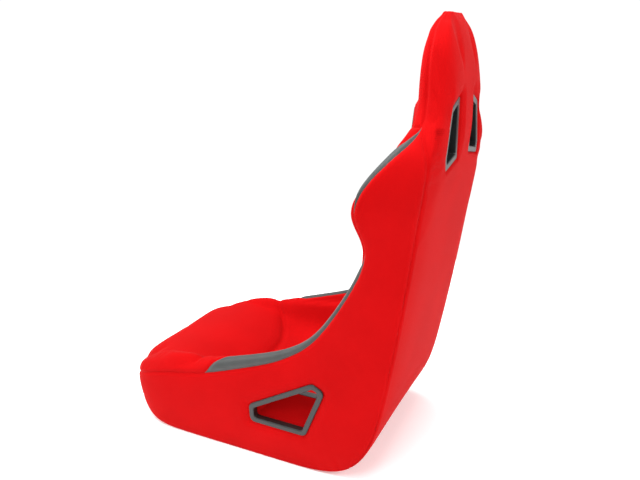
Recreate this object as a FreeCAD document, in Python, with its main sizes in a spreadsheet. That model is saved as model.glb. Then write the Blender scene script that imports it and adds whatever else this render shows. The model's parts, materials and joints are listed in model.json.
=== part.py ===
# Fixed-back racing seat: welded tube frame, moulded foam, sewn stretch cover and plastic slot bezels.
# Millimetres. The seat faces -Y, +Z is up and +X is the occupant's left. The origin is on the floor
# plane, in the plane of symmetry, 40 mm ahead of the middle of the side mounts.
import FreeCAD, Part
import Sketcher
import math
import os

Vector = FreeCAD.Vector
doc = FreeCAD.newDocument("RacingSeat")

# ---------------------------------------------------------------- driving dimensions
DIMENSIONS = {
    "rail_tube": 25.0,            # outer diameter of side rails, front bow and back bow
    "light_tube": 16.0,           # outer diameter of hip rails, wing hoops and headrest hoop
    "tube_wall": 2.0,
    "rail_half_span": 168.0,      # rail axis to the plane of symmetry
    "rail_height": 22.0,          # rail axis above the floor plane
    "back_lean": 9.0,             # lean of the back's uprights, degrees
    "upright_foot": 228.0,        # where the uprights' axis line meets the rail height
    "upright_joint": 430.0,       # height of the joint between rail and back bow
    "back_bow_top": 598.0,
    "headrest_hoop_top": 852.0,
    "headrest_hoop_span": 134.0,  # hoop axis to the plane of symmetry, outside the harness slots
    "cover_gauge": 2.5,           # laminated cover cloth
    "foam_clearance": 0.3,
    "bezel_flange": 3.5,
    "bezel_ring": 11.0,
    "bezel_wall": 2.2,
    "shoulder_collar": 24.0,      # collar of a front shoulder bezel; the rear one runs up to it
    "lap_collar": 12.0,
    "lining_gauge": 1.2,          # cloth sleeve that lines a lap slot
    "mount_pitch": 290.0,         # front to rear spacing of the side mounts
    "mount_rear": 185.0,
    "mount_height": 51.0,
    "mount_tap_radius": 3.4,      # M8 tapping drill
    "boss_radius": 9.0,
    "boss_length": 12.5,
    "plate_gauge": 3.0,
    "webbing_width": 45.0,
    "webbing_gauge": 2.0,
}
sheet = doc.addObject("Spreadsheet::Sheet", "Sizes")
for row, (alias, value) in enumerate(DIMENSIONS.items(), start=1):
    sheet.set(f"A{row}", alias)
    sheet.set(f"B{row}", str(value))
    sheet.setAlias(f"B{row}", alias)
doc.recompute()


def size(alias):
    return float(sheet.get(alias))


NODES = []


def keep(node, label):
    """Give a finished sub-part its own name and put it on the list of pieces."""
    node.Label = label
    NODES.append(node)
    return node


def shaped(label, shape, position=Vector(0, 0, 0)):
    """A sub-part whose free form has no sketch: its shape is set first, then its placement."""
    node = doc.addObject("Part::Feature", label)
    node.Shape = shape
    node.Placement = FreeCAD.Placement(position, FreeCAD.Rotation())
    return keep(node, label)


def axes(origin, x_axis, y_axis):
    """Placement whose own X and Y point along two given directions."""
    z_axis = x_axis.cross(y_axis)
    return FreeCAD.Placement(origin, FreeCAD.Rotation(x_axis, y_axis, z_axis, "XYZ"))


# ---------------------------------------------------------------- outlines
def rounded(points, radius, closed=True):
    """Straight runs joined by tangent arcs, in the XY plane, through 2D corner points."""
    corners = [Vector(x, y, 0) for x, y in points]
    count = len(corners)
    pieces = []
    previous = None
    first = None
    for index, corner in enumerate(corners):
        if not closed and index in (0, count - 1):
            entry = leave = corner
        else:
            back = (corners[index - 1] - corner).normalize()
            ahead = (corners[(index + 1) % count] - corner).normalize()
            half = back.getAngle(ahead) / 2
            setback = radius / math.tan(half)
            entry = corner + back * setback
            leave = corner + ahead * setback
            bisector = (back + ahead).normalize()
            middle = corner + bisector * (radius / math.sin(half) - radius)
        if previous is not None:
            pieces.append(Part.LineSegment(previous, entry))
        if entry != leave:
            pieces.append(Part.Arc(entry, middle, leave))
        if first is None:
            first = entry
        previous = leave
    if closed:
        pieces.append(Part.LineSegment(previous, first))
    return pieces


def inset(points, distance):
    """A convex outline, listed anticlockwise, moved inwards by a distance."""
    moved = []
    count = len(points)
    for index, (x, y) in enumerate(points):
        before = Vector(*points[index - 1], 0)
        here = Vector(x, y, 0)
        after = Vector(*points[(index + 1) % count], 0)
        run_in = (here - before).normalize()
        run_out = (after - here).normalize()
        left_in = Vector(-run_in.y, run_in.x, 0)
        left_out = Vector(-run_out.y, run_out.x, 0)
        shift = (left_in + left_out) * (distance / (1 + left_in.dot(left_out)))
        moved.append((x + shift.x, y + shift.y))
    return moved


def prism(points, radius, placement, low, high):
    """Solid block with a rounded outline, between two distances along the placement's own Z."""
    wire = Part.Wire([piece.toShape() for piece in rounded(points, radius)])
    block = Part.Face(wire).extrude(Vector(0, 0, high - low))
    block.translate(Vector(0, 0, low))
    block.Placement = placement.multiply(block.Placement)
    return block


def slab(low, high):
    """Axis-parallel block between two corners."""
    return Part.makeBox(high[0] - low[0], high[1] - low[1], high[2] - low[2], Vector(*low))


def side_block(points, x_low, x_high):
    """Block whose outline is drawn in the side view as (y, z) points."""
    corners = [Vector(x_low, y, z) for y, z in points]
    face = Part.Face(Part.makePolygon(corners + corners[:1]))
    return face.extrude(Vector(x_high - x_low, 0, 0))


# ---------------------------------------------------------------- outer form of the upholstery
# One row for each section across the seat, from the front lip round the hip to the headrest top.
# heel is the point on the underside or rear, crown the point on the edge of the bolster or wing,
# both as (y, z); pad is the cushion's depth from the heel; the rest are half widths, then the
# roundness of the crown.
#    heel         crown       pad  rear side crown foot round
SECTIONS = [
    ((-364, 62), (-363, 86), 22, 100, 104, 92, 78, 8),
    ((-351, 57), (-356, 107), 62, 142, 147, 126, 112, 14),
    ((-320, 34), (-338, 132), 113, 181, 187, 162, 140, 20),
    ((-284, 12), (-303, 150), 148, 198, 205, 179, 152, 22),
    ((-248, 1), (-262, 165), 164, 202, 208, 184, 154, 24),
    ((-205, -0.6), (-208, 180), 166, 203, 207, 185, 156, 26),
    ((-140, -0.6), (-146, 189), 154, 203, 207, 186, 152, 25),
    ((-85, -0.6), (-84, 208), 134, 203, 207, 187, 150, 23),
    ((-10, -0.6), (-8, 231), 126, 203, 207, 188, 150, 21),
    ((75, -0.6), (43, 248), 121, 203, 207, 188, 150, 20),
    ((154, -0.4), (78, 264), 119, 202, 207, 188, 150, 20),
    ((224, 21), (109, 283), 109, 200, 207, 188, 152, 20),
    ((266, 91), (135, 307), 99, 199, 206, 188, 156, 20),
    ((286, 190), (160, 339), 76, 198, 205, 188, 158, 20),
    ((305, 300), (202, 405), 72, 198, 206, 190, 160, 20),
    ((323, 420), (236, 472), 66, 198, 211, 198, 164, 19),
    ((334, 505), (239, 517), 64, 198, 220, 210, 168, 19),
    ((345, 575), (223, 567), 62, 199, 240, 248, 178, 21),
    ((353, 632), (241, 620), 61, 197, 238, 244, 176, 21),
    ((358, 672), (280, 668), 60, 186, 211, 211, 160, 19),
    ((360, 702), (298, 700), 60, 160, 167, 158, 128, 16),
    ((359, 730), (300, 729), 56, 138, 142, 120, 102, 16),
    ((358, 770), (298, 770), 55, 126, 131, 112, 92, 16),
    ((355, 814), (297, 814), 54, 118, 121, 102, 82, 16),
    ((350, 852), (298, 852), 50, 104, 106, 87, 68, 16),
    ((342, 883), (302, 883), 40, 80, 81, 62, 46, 14),
    ((334, 899), (311, 899), 24, 44, 44, 32, 26, 8),
]
# Section rows at which a cover panel starts or stops.
ROW_PATCH_TIP = 6.6
ROW_BASE_REAR = 11.0
ROW_BACK = 12.3
ROW_WAIST = 15.7
ROW_WING = 16.8
ROW_SHOULDER_TOP = 19.6
ROW_HEADREST = 21.0
ROW_TOP = len(SECTIONS) - 1.0
# Places round a section, counted from the middle of the underside: the rear edge of the side
# panel, the seam under the bolster's crown and the inner edge of the grip patch.
EDGE_REAR = 3.2
EDGE_CROWN = 6.2
EDGE_PATCH = 8.6


def section_points(section, depth):
    """Control points of one section, moved inwards by a depth. The last one comes first, so that
    the surface parameter counts the points from the middle of the underside."""
    heel, crown, pad, rear, side, top, foot, crown_round = section
    start = Vector(0, *heel)
    reach = Vector(0, *crown) - start
    height = reach.Length
    along = reach.normalize()
    over_neck = min(1.0, max(0.0, (heel[1] - 640.0) / 100.0))
    corner = min(10.0 + 18.0 * over_neck, 5.0 + 0.03 * heel[1], 0.4 * height)
    drop = 0.9 * min(crown_round, max(0.0, height - pad))
    round_in = crown_round - depth
    lip = height - depth
    floor = pad - depth
    upper = (top - round_in, lip - drop)
    half = [
        (0, depth),
        (0.55 * rear, depth),
        (rear - corner, depth),
        (rear - 0.8 * depth - 0.1 * corner, depth + 0.25 * corner),
        (rear - depth + 0.2 * (side - rear), corner),
        (side - depth, 0.5 * height),
        (top + 0.95 * round_in, lip - 0.75 * crown_round),
        (top + 0.35 * round_in, lip - 0.06 * crown_round),
        (top - 0.45 * round_in, lip - 0.1 * drop),
        upper,
        (0.95 * foot + 0.42 * (upper[0] - 0.95 * foot), floor + 0.3 * (upper[1] - floor)),
        (0.8 * foot, floor),
        (0.42 * foot, floor),
        (0, floor),
    ]
    loop = half + [(-x, rise) for x, rise in reversed(half[1:-1])]
    points = [start + along * rise + Vector(x, 0, 0) for x, rise in loop]
    return points[-1:] + points[:-1]


def moved_end(section, forward, down):
    """The section with its heel and crown moved, for the inner faces of the two ends."""
    heel, crown = section[0], section[1]
    shift = [(y + forward, z - down) for y, z in (heel, crown)]
    return (shift[0], shift[1]) + section[2:]


def upholstery_surface(depth):
    """Cubic surface over all sections, a given depth under the outside of the cover."""
    rows = [moved_end(SECTIONS[0], depth, 0)] + SECTIONS[1:-1] + [moved_end(SECTIONS[-1], 0, depth)]
    grid = [section_points(row, depth) for row in rows]
    around = len(grid[0])
    poles = [[line[index] for line in grid] for index in range(around)]
    surface = Part.BSplineSurface()
    surface.buildFromPolesMultsKnots(
        poles,
        [1] * (around + 1),
        [4] + [1] * (len(grid) - 4) + [4],
        list(range(around + 1)),
        list(range(len(grid) - 2)),
        True, False, 3, 3)
    return surface


def spine(row):
    """Surface parameter of a section row; the clamped ends squeeze the first and last rows."""
    last = len(SECTIONS) - 1.0
    if row <= 2.0:
        return row / 2.0
    if row >= last - 2.0:
        return last - 2.0 - (last - row) / 2.0
    return row - 1.0


def upholstery_solid(depth):
    """Everything inside the cover at a given depth, as one closed block."""
    surface = upholstery_surface(depth)
    ends = [0.0, len(SECTIONS) - 3.0]
    faces = [surface.toShape()]
    faces += [Part.Face(Part.Wire([surface.vIso(end).toShape()])) for end in ends]
    shell = Part.makeShell(faces)
    shell.sewShape()
    return outward(Part.Solid(shell))


def outward(solid):
    if solid.Volume < 0:
        solid.reverse()
    return solid


def panel(edge_low, edge_high, row_low, row_high):
    """A sewn cover panel: the strip of cover between two edges and two section rows."""
    low, high = spine(row_low), spine(row_high)
    skins = [upholstery_surface(0.0), upholstery_surface(size("cover_gauge"))]
    faces = [skin.toShape(edge_low, edge_high, low, high) for skin in skins]
    for edge in (edge_low, edge_high):
        lines = [skin.uIso(edge).toShape(low, high) for skin in skins]
        faces.append(Part.makeRuledSurface(lines[0], lines[1]))
    for row in (low, high):
        lines = [skin.vIso(row).toShape(edge_low, edge_high) for skin in skins]
        faces.append(Part.makeRuledSurface(lines[0], lines[1]))
    shell = Part.makeShell(faces)
    shell.sewShape()
    return outward(Part.Solid(shell))


def twin(shape):
    """The same shape on the other side of the plane of symmetry."""
    return shape.mirror(Vector(0, 0, 0), Vector(1, 0, 0))


def keep_pair(name, shape):
    """A left and a right sub-part from the left one's shape."""
    shaped(name + "_left", shape)
    shaped(name + "_right", twin(shape))


# ---------------------------------------------------------------- tube frame
TO_LEFT = Vector(1, 0, 0)
TO_REAR = Vector(0, 1, 0)
UPWARD = Vector(0, 0, 1)
LEAN = math.radians(size("back_lean"))
UP_THE_BACK = Vector(0, math.sin(LEAN), math.cos(LEAN))
RAIL = size("rail_half_span")
RAIL_Z = size("rail_height")
RAIL_RADIUS = size("rail_tube") / 2
LIGHT_RADIUS = size("light_tube") / 2


def upright_y(height):
    """Where the axis plane of the uprights lies at a height."""
    return size("upright_foot") + (height - RAIL_Z) * math.tan(LEAN)


def origin_plane(body, role):
    return next(item for item in body.Origin.OriginFeatures if item.Role == role)


def sketch_on(body, role, name, height=0.0):
    """Sketch on one of the body's own origin planes, raised along the plane's normal."""
    sketch = body.newObject("Sketcher::SketchObject", name)
    sketch.AttachmentSupport = [(origin_plane(body, role), "")]
    sketch.MapMode = "FlatFace"
    sketch.AttachmentOffset = FreeCAD.Placement(Vector(0, 0, height), FreeCAD.Rotation())
    return sketch


def draw(sketch, pieces):
    for piece in pieces:
        sketch.addGeometry(piece, False)


def draw_ring(sketch, centre, outer_expression, wall_expression):
    """Two circles whose radii follow the sheet, as a tube's section."""
    for name, expression in (
            ("outer", f"Sizes.{outer_expression} / 2"),
            ("inner", f"Sizes.{outer_expression} / 2 - Sizes.{wall_expression}")):
        start_radius = size(outer_expression) / 2 - (size(wall_expression) if name == "inner" else 0)
        circle = sketch.addGeometry(Part.Circle(centre, Vector(0, 0, 1), start_radius), False)
        index = sketch.addConstraint(Sketcher.Constraint("Radius", circle, start_radius))
        sketch.renameConstraint(index, name)
        sketch.setExpression("Constraints." + name, expression)


def route(points, bend, placement):
    """Axis of a bent tube as a wire in the seat's frame."""
    wire = Part.Wire([piece.toShape() for piece in rounded(points, bend, closed=False)])
    wire.Placement = placement
    return wire


def bar(points, bend, placement, radius):
    """Solid round bar along a bent tube's axis, used to cope joints and to clear foam."""
    wire = route(points, bend, placement)
    start = wire.OrderedVertexes[0].Point
    heading = wire.OrderedEdges[0].tangentAt(wire.OrderedEdges[0].FirstParameter)
    circle = Part.Wire([Part.Circle(start, heading, radius).toShape()])
    return wire.makePipeShell([circle], True, False, 1)


class Tube:
    """A tube bent in one plane. Its first run goes along its own +Y from y = 0."""

    def __init__(self, label, diameter, points, bend, placement):
        self.label = label
        self.diameter = diameter
        self.points = points
        self.bend = bend
        self.placement = placement

    def envelope(self, extra=0.0):
        radius = size(self.diameter) / 2 + extra
        return bar(self.points, self.bend, self.placement, radius)

    def build(self, welded_to=()):
        """The tube as a pipe feature, its ends coped round the tubes it is welded to."""
        body = doc.addObject("PartDesign::Body", self.label + "_body")
        path = sketch_on(body, "XY_Plane", self.label + "_axis")
        draw(path, rounded(self.points, self.bend, closed=False))
        profile = sketch_on(body, "XZ_Plane", self.label + "_section")
        draw_ring(profile, Vector(self.points[0][0], 0, 0), self.diameter, "tube_wall")
        doc.recompute()
        pipe = body.newObject("PartDesign::AdditivePipe", self.label + "_pipe")
        pipe.Profile = profile
        pipe.Spine = path
        body.Tip = pipe
        body.Placement = self.placement
        doc.recompute()
        node = body
        for index, other in enumerate(welded_to):
            tool = doc.addObject("Part::Feature", f"{self.label}_cope_{index}")
            tool.Shape = other.envelope(0.05)
            cut = doc.addObject("Part::Cut", f"{self.label}_coped_{index}")
            cut.Base = node
            cut.Tool = tool
            node = cut
        doc.recompute()
        return keep(node, self.label)


def rail(label, x):
    joint_y = upright_y(size("upright_joint"))
    front_y = -170.0
    points = [
        (RAIL_Z, 0),
        (RAIL_Z, size("upright_foot") - front_y),
        (size("upright_joint"), joint_y - front_y),
    ]
    return Tube(label, "rail_tube", points, 110.0, axes(Vector(x, front_y, 0), UPWARD, TO_REAR))


RAILS = [rail("side_rail_left", RAIL), rail("side_rail_right", -RAIL)]
FRONT_BOW = Tube(
    "front_bow", "rail_tube",
    [(-RAIL, 0), (-RAIL, 60), (RAIL, 60), (RAIL, 0)], 50.0,
    axes(Vector(0, -170, RAIL_Z), -TO_LEFT, -TO_REAR))
bow_rise = (size("back_bow_top") - size("upright_joint")) / math.cos(LEAN)
BACK_BOW = Tube(
    "back_bow", "rail_tube",
    [(-RAIL, 0), (-RAIL, bow_rise), (RAIL, bow_rise), (RAIL, 0)], 50.0,
    axes(Vector(0, upright_y(size("upright_joint")), size("upright_joint")), TO_LEFT, UP_THE_BACK))
BOW_TOP_Y = upright_y(size("back_bow_top"))
hoop_rise = size("headrest_hoop_top") - size("back_bow_top")
HOOP_SPAN = size("headrest_hoop_span")
HOOP_SIDE = [(HOOP_SPAN, 0), (HOOP_SPAN, 70), (0.83 * HOOP_SPAN, 150), (0.58 * HOOP_SPAN, hoop_rise)]
HEADREST_HOOP = Tube(
    "headrest_hoop", "light_tube",
    [(-x, rise) for x, rise in HOOP_SIDE] + HOOP_SIDE[::-1], 30.0,
    axes(Vector(0, BOW_TOP_Y, size("back_bow_top")), TO_LEFT, UPWARD))
HIP_ROUTE = [(-150, 0), (-150, 110), (60, 190), (140, 250), (205, 318), (290, 385)]


def hip_rail(label, x):
    return Tube(label, "light_tube", HIP_ROUTE, 38.0, axes(Vector(x, 0, RAIL_Z), TO_REAR, UPWARD))


HIP_SPAN = RAIL + 12
HIP_RAILS = [hip_rail("hip_rail_left", HIP_SPAN), hip_rail("hip_rail_right", -HIP_SPAN)]
WING_FOOT = 500.0
WING_REACH = 60.0
WING_RISE = 84.0
WING_SPLAY = math.radians(35)


def wing_hoop(label, side):
    outward_way = Vector(side * math.cos(WING_SPLAY), -math.sin(WING_SPLAY), 0)
    foot = Vector(side * RAIL, upright_y(WING_FOOT), WING_FOOT)
    points = [(0, 0), (0, WING_REACH), (WING_RISE, WING_REACH), (WING_RISE, -14)]
    return Tube(label, "light_tube", points, 32.0, axes(foot, UP_THE_BACK, outward_way))


WING_HOOPS = [wing_hoop("wing_hoop_left", 1), wing_hoop("wing_hoop_right", -1)]


def cross_tube(label, y, z):
    start = Vector(-RAIL, y, z)
    points = [(0, 0), (0, 2 * RAIL)]
    return Tube(label, "light_tube", points, 1.0, axes(start, UPWARD, TO_LEFT))


SEAT_CROSS = cross_tube("seat_cross_tube", 118.0, RAIL_Z)
LUMBAR_CROSS = cross_tube("lumbar_cross_tube", upright_y(236.0), 236.0)

for tube in RAILS + [FRONT_BOW, BACK_BOW]:
    tube.build()
HEADREST_HOOP.build([BACK_BOW])
for index in (0, 1):
    HIP_RAILS[index].build([RAILS[index]])
    WING_HOOPS[index].build([RAILS[index], BACK_BOW])
SEAT_CROSS.build(RAILS)
LUMBAR_CROSS.build(RAILS)


# ---------------------------------------------------------------- side mounts
PLATE_X = RAIL + RAIL_RADIUS + 0.2
MOUNT_Z = size("mount_height")
MOUNT_REAR = size("mount_rear")
MOUNT_FRONT = MOUNT_REAR - size("mount_pitch")
PLATE_FRONT = MOUNT_FRONT - 24
PLATE_REAR = MOUNT_REAR + 17
PLATE_FOOT = 14.0
PLATE_HEAD = MOUNT_Z + 15


def mount_plate(label, side):
    """Flat steel plate welded to the outside of the side rail, with a hole for each boss."""
    body = doc.addObject("PartDesign::Body", label + "_body")
    outline = sketch_on(body, "YZ_Plane", label + "_outline", side * PLATE_X)
    corners = [
        (PLATE_FRONT, PLATE_FOOT), (MOUNT_REAR - 40, PLATE_FOOT), (PLATE_REAR, MOUNT_Z - 17),
        (PLATE_REAR, PLATE_HEAD), (PLATE_FRONT, PLATE_HEAD)]
    draw(outline, rounded(corners, 6.0))
    for y in (MOUNT_FRONT, MOUNT_REAR):
        centre = Vector(y, MOUNT_Z, 0)
        outline.addGeometry(Part.Circle(centre, Vector(0, 0, 1), size("boss_radius")), False)
    pad = body.newObject("PartDesign::Pad", label + "_pad")
    pad.Profile = outline
    pad.setExpression("Length", "Sizes.plate_gauge")
    pad.Reversed = side < 0
    doc.recompute()
    return keep(body, label)


def bush(label, start, heading, outer_radius, inner_radius, length):
    """Round bush made of two primitive cylinders."""
    tools = []
    for name, radius in (("outer", outer_radius), ("bore", inner_radius)):
        cylinder = doc.addObject("Part::Cylinder", f"{label}_{name}")
        cylinder.Radius = radius
        cylinder.Height = length
        cylinder.Placement = FreeCAD.Placement(start, FreeCAD.Rotation(UPWARD, heading))
        tools.append(cylinder)
    cut = doc.addObject("Part::Cut", label)
    cut.Base, cut.Tool = tools
    tools[0].setExpression("Height", "Sizes.boss_length")
    tools[1].setExpression("Height", "Sizes.boss_length")
    return cut


def mount_bosses():
    """Four threaded bushes, one for each mounting screw."""
    bushes = []
    for side in (1, -1):
        for y in (MOUNT_FRONT, MOUNT_REAR):
            start = Vector(side * PLATE_X, y, MOUNT_Z)
            bushes.append(bush(f"boss_{len(bushes)}", start, TO_LEFT * side,
                               size("boss_radius"), size("mount_tap_radius"), size("boss_length")))
    group = doc.addObject("Part::Compound", "mount_bosses")
    group.Links = bushes
    doc.recompute()
    return keep(group, "mount_bosses")


def boss_space(extra):
    """Space round the four bosses and the two plates."""
    space = []
    for side in (1, -1):
        for y in (MOUNT_FRONT, MOUNT_REAR):
            start = Vector(side * (PLATE_X - extra), y, MOUNT_Z)
            space.append(Part.makeCylinder(size("boss_radius") + extra, 60, start, TO_LEFT * side))
        low = (PLATE_X - extra, PLATE_FRONT - extra, PLATE_FOOT - extra)
        high = (PLATE_X + size("plate_gauge") + extra, PLATE_REAR + extra, PLATE_HEAD + extra)
        plate = slab(low, high)
        space.append(plate if side > 0 else twin(plate))
    return space


mount_plate("side_mount_plate_left", 1)
mount_plate("side_mount_plate_right", -1)
mount_bosses()

# ---------------------------------------------------------------- webbing and its clips
STRAP_WIDTH = size("webbing_width")
STRAP_GAUGE = size("webbing_gauge")
CLIP_INNER = RAIL_RADIUS + 0.3
CLIP_OUTER = CLIP_INNER + 1.5
STRAP_END = RAIL - CLIP_OUTER - 0.4
SEAT_STRAPS = [-150.0, -90.0, -30.0, 30.0, 85.0]
BACK_STRAPS = [130.0, 190.0, 290.0, 350.0, 405.0]


def strap_frames(places, leaning):
    """A placement for each strap: X across the seat, Y along the rail."""
    frames = []
    for place in places:
        if leaning:
            frames.append(axes(Vector(0, upright_y(place), place), TO_LEFT, UP_THE_BACK))
        else:
            frames.append(axes(Vector(0, place, RAIL_Z), TO_LEFT, TO_REAR))
    return frames


def webbing(label, frames):
    """Elastic straps stretched between the two rails."""
    straps = []
    for index, frame in enumerate(frames):
        strap = doc.addObject("Part::Box", f"{label}_strap_{index}")
        strap.Length = 2 * STRAP_END
        strap.setExpression("Width", "Sizes.webbing_width")
        strap.setExpression("Height", "Sizes.webbing_gauge")
        corner = Vector(-STRAP_END, -STRAP_WIDTH / 2, -STRAP_GAUGE / 2)
        strap.Placement = frame.multiply(FreeCAD.Placement(corner, FreeCAD.Rotation()))
        straps.append(strap)
    group = doc.addObject("Part::Compound", label)
    group.Links = straps
    doc.recompute()
    return keep(group, label)


def clips(label, frames):
    """Spring steel clips that wrap the rails and grip the ends of the straps."""
    width = STRAP_WIDTH - 5
    pieces = []
    for frame in frames:
        for side in (1, -1):
            sleeve = Part.makeCylinder(CLIP_OUTER, width, Vector(), TO_REAR)
            sleeve = sleeve.cut(Part.makeCylinder(CLIP_INNER, width, Vector(), TO_REAR))
            mouth = Part.makeBox(CLIP_OUTER, width, 2 * CLIP_OUTER, Vector(4, 0, -CLIP_OUTER))
            sleeve = sleeve.cut(mouth)
            sleeve.translate(Vector(0, -width / 2, 0))
            if side < 0:
                sleeve = twin(sleeve)
            sleeve.translate(Vector(side * RAIL, 0, 0))
            sleeve.Placement = frame.multiply(sleeve.Placement)
            pieces.append(sleeve)
    return shaped(label, Part.Compound(pieces))


SEAT_FRAMES = strap_frames(SEAT_STRAPS, False)
BACK_FRAMES = strap_frames(BACK_STRAPS, True)
webbing("seat_webbing", SEAT_FRAMES)
webbing("back_webbing", BACK_FRAMES)
clips("seat_webbing_clips", SEAT_FRAMES)
clips("back_webbing_clips", BACK_FRAMES)

# ---------------------------------------------------------------- headrest plate
PLATE_Y = BOW_TOP_Y + LIGHT_RADIUS + 0.3
PLATE_LOW = 770.0
PLATE_HALF = 96.0
PLATE_SHEET = 1.5


def headrest_plate():
    """Sheet steel plate on the rear of the headrest hoop, with rounded corners."""
    body = doc.addObject("PartDesign::Body", "headrest_plate_body")
    outline = sketch_on(body, "XZ_Plane", "headrest_plate_outline", -PLATE_Y)
    top = size("headrest_hoop_top") + 4
    corners = [(-PLATE_HALF, PLATE_LOW), (PLATE_HALF, PLATE_LOW), (72, top), (-72, top)]
    draw(outline, rounded(corners, 16.0))
    pad = body.newObject("PartDesign::Pad", "headrest_plate_pad")
    pad.Profile = outline
    pad.Length = PLATE_SHEET
    pad.Reversed = True
    doc.recompute()
    return keep(body, "headrest_plate")


headrest_plate()

# ---------------------------------------------------------------- belt slots
# Outer outlines of the bezels. Shoulder slots are seen from behind as (x, z); lap slots are seen
# from the left side as (y, z).
SHOULDER_SLOT = [(42, 643), (120, 630), (126, 653), (98, 738), (46, 758)]
SHOULDER_SLOT_CORNER = 6.0
LAP_SLOT = [(-8, 83), (122, 82), (166, 192), (138, 206), (-10, 122)]
LAP_SLOT_CORNER = 14.0
SHOULDER_FACE = 352.5
SHOULDER_INNER_FACE = 291.0
LAP_FACE = 205.6
LAP_INNER_CENTRE = Vector(150, 80, 164)
LAP_INNER_TILT = math.radians(14)
LAP_INNER_SLOT = [(-62, -32), (50, -32), (76, 26), (52, 38), (-62, 0)]
LAP_INNER_CORNER = 6.0
SHOULDER_TUNNEL = 70.0            # depth of the cut behind each kind of bezel
SHOULDER_MOUTH = 30.0
LAP_MOUTH = 16.0
LAP_INNER_MOUTH = 20.0
COLLAR_ROUND = 1.5                # a collar's outer corners, over the corners of its opening
BELT_ROOM = 40.0                  # free space kept in front of a bezel
RING = size("bezel_ring")


def left_of(frame):
    """The same placement in the mirror, with its own X reversed to stay right-handed."""
    origin = frame.Base
    x_axis = frame.Rotation.multVec(TO_LEFT)
    y_axis = frame.Rotation.multVec(TO_REAR)
    flip = lambda way: Vector(-way.x, way.y, way.z)
    return axes(flip(origin), flip(x_axis) * -1, flip(y_axis))


def reversed_x(points):
    return [(-x, y) for x, y in reversed(points)]


def opening_corner(corner):
    """Corner radius of a bezel's opening, from the corner radius of its flange."""
    return max(2.0, 0.55 * corner)


def bezel(label, points, corner, collar, frame):
    """Moulded slot bezel: a bevelled flange ring and a collar that lines the slot behind it."""
    body = doc.addObject("PartDesign::Body", label + "_body")
    opening = inset(points, RING)
    inner_corner = opening_corner(corner)
    ring = sketch_on(body, "XY_Plane", label + "_ring")
    draw(ring, rounded(points, corner))
    draw(ring, rounded(opening, inner_corner))
    flange = body.newObject("PartDesign::Pad", label + "_flange")
    flange.Profile = ring
    flange.setExpression("Length", "Sizes.bezel_flange")
    doc.recompute()
    wall = sketch_on(body, "XY_Plane", label + "_wall")
    draw(wall, rounded(inset(points, RING - size("bezel_wall")), inner_corner + COLLAR_ROUND))
    draw(wall, rounded(opening, inner_corner))
    collar_pad = body.newObject("PartDesign::Pad", label + "_collar")
    collar_pad.Profile = wall
    collar_pad.Length = collar
    collar_pad.Reversed = True
    doc.recompute()
    rim = [f"Edge{index + 1}" for index, edge in enumerate(collar_pad.Shape.Edges)
           if edge.BoundBox.ZMin > size("bezel_flange") - 0.01]
    bevel = body.newObject("PartDesign::Chamfer", label + "_bevel")
    bevel.Base = (collar_pad, rim)
    bevel.Size = 1.4
    body.Tip = bevel
    body.Placement = frame
    doc.recompute()
    return keep(body, label)


REAR_FRAME = axes(Vector(0, SHOULDER_FACE, 0), -TO_LEFT, UPWARD)
FRONT_FRAME = axes(Vector(0, SHOULDER_INNER_FACE, 0), TO_LEFT, UPWARD)
LAP_FRAME = axes(Vector(LAP_FACE, 0, 0), TO_REAR, UPWARD)
tilted_up = Vector(math.sin(LAP_INNER_TILT), 0, math.cos(LAP_INNER_TILT))
LAP_INNER_FRAME = axes(LAP_INNER_CENTRE, -TO_REAR, tilted_up)
COLLAR = size("shoulder_collar")
REAR_COLLAR = SHOULDER_FACE - SHOULDER_INNER_FACE - COLLAR - 1.0
LAP_COLLAR = size("lap_collar")
LAP_INNER_COLLAR = 10.0
bezel("shoulder_slot_bezel_rear_left", reversed_x(SHOULDER_SLOT), SHOULDER_SLOT_CORNER,
      REAR_COLLAR, REAR_FRAME)
bezel("shoulder_slot_bezel_rear_right", SHOULDER_SLOT, SHOULDER_SLOT_CORNER, REAR_COLLAR,
      REAR_FRAME)
bezel("shoulder_slot_bezel_front_left", SHOULDER_SLOT, SHOULDER_SLOT_CORNER, COLLAR, FRONT_FRAME)
bezel("shoulder_slot_bezel_front_right", reversed_x(SHOULDER_SLOT), SHOULDER_SLOT_CORNER, COLLAR,
      FRONT_FRAME)
bezel("lap_slot_bezel_outer_left", LAP_SLOT, LAP_SLOT_CORNER, LAP_COLLAR, LAP_FRAME)
bezel("lap_slot_bezel_outer_right", reversed_x(LAP_SLOT), LAP_SLOT_CORNER, LAP_COLLAR,
      left_of(LAP_FRAME))
bezel("lap_slot_bezel_inner_left", reversed_x(LAP_INNER_SLOT), LAP_INNER_CORNER,
      LAP_INNER_COLLAR, LAP_INNER_FRAME)
bezel("lap_slot_bezel_inner_right", LAP_INNER_SLOT, LAP_INNER_CORNER, LAP_INNER_COLLAR,
      left_of(LAP_INNER_FRAME))


def chute(margin):
    """Block that runs from the left outer lap bezel's collar up to the inner one's, the outlines
    of its ends moved inwards by a margin."""
    edge = RING - size("bezel_wall") + margin
    gap = 0.3
    outward_frame = axes(LAP_INNER_CENTRE, TO_REAR, tilted_up)
    ends = []
    for points, corner, frame, height in (
            (LAP_SLOT, LAP_SLOT_CORNER, LAP_FRAME, -LAP_COLLAR - gap),
            (LAP_INNER_SLOT, LAP_INNER_CORNER, outward_frame, LAP_INNER_COLLAR + gap)):
        outline = rounded(inset(points, edge), opening_corner(corner) + COLLAR_ROUND)
        wire = Part.Wire([piece.toShape() for piece in outline])
        wire.translate(Vector(0, 0, height))
        wire.Placement = frame.multiply(wire.Placement)
        ends.append(wire)
    return outward(Part.makeLoft(ends, True, True))


keep_pair("lap_slot_lining", chute(0.0).cut(chute(size("lining_gauge"))))


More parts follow.
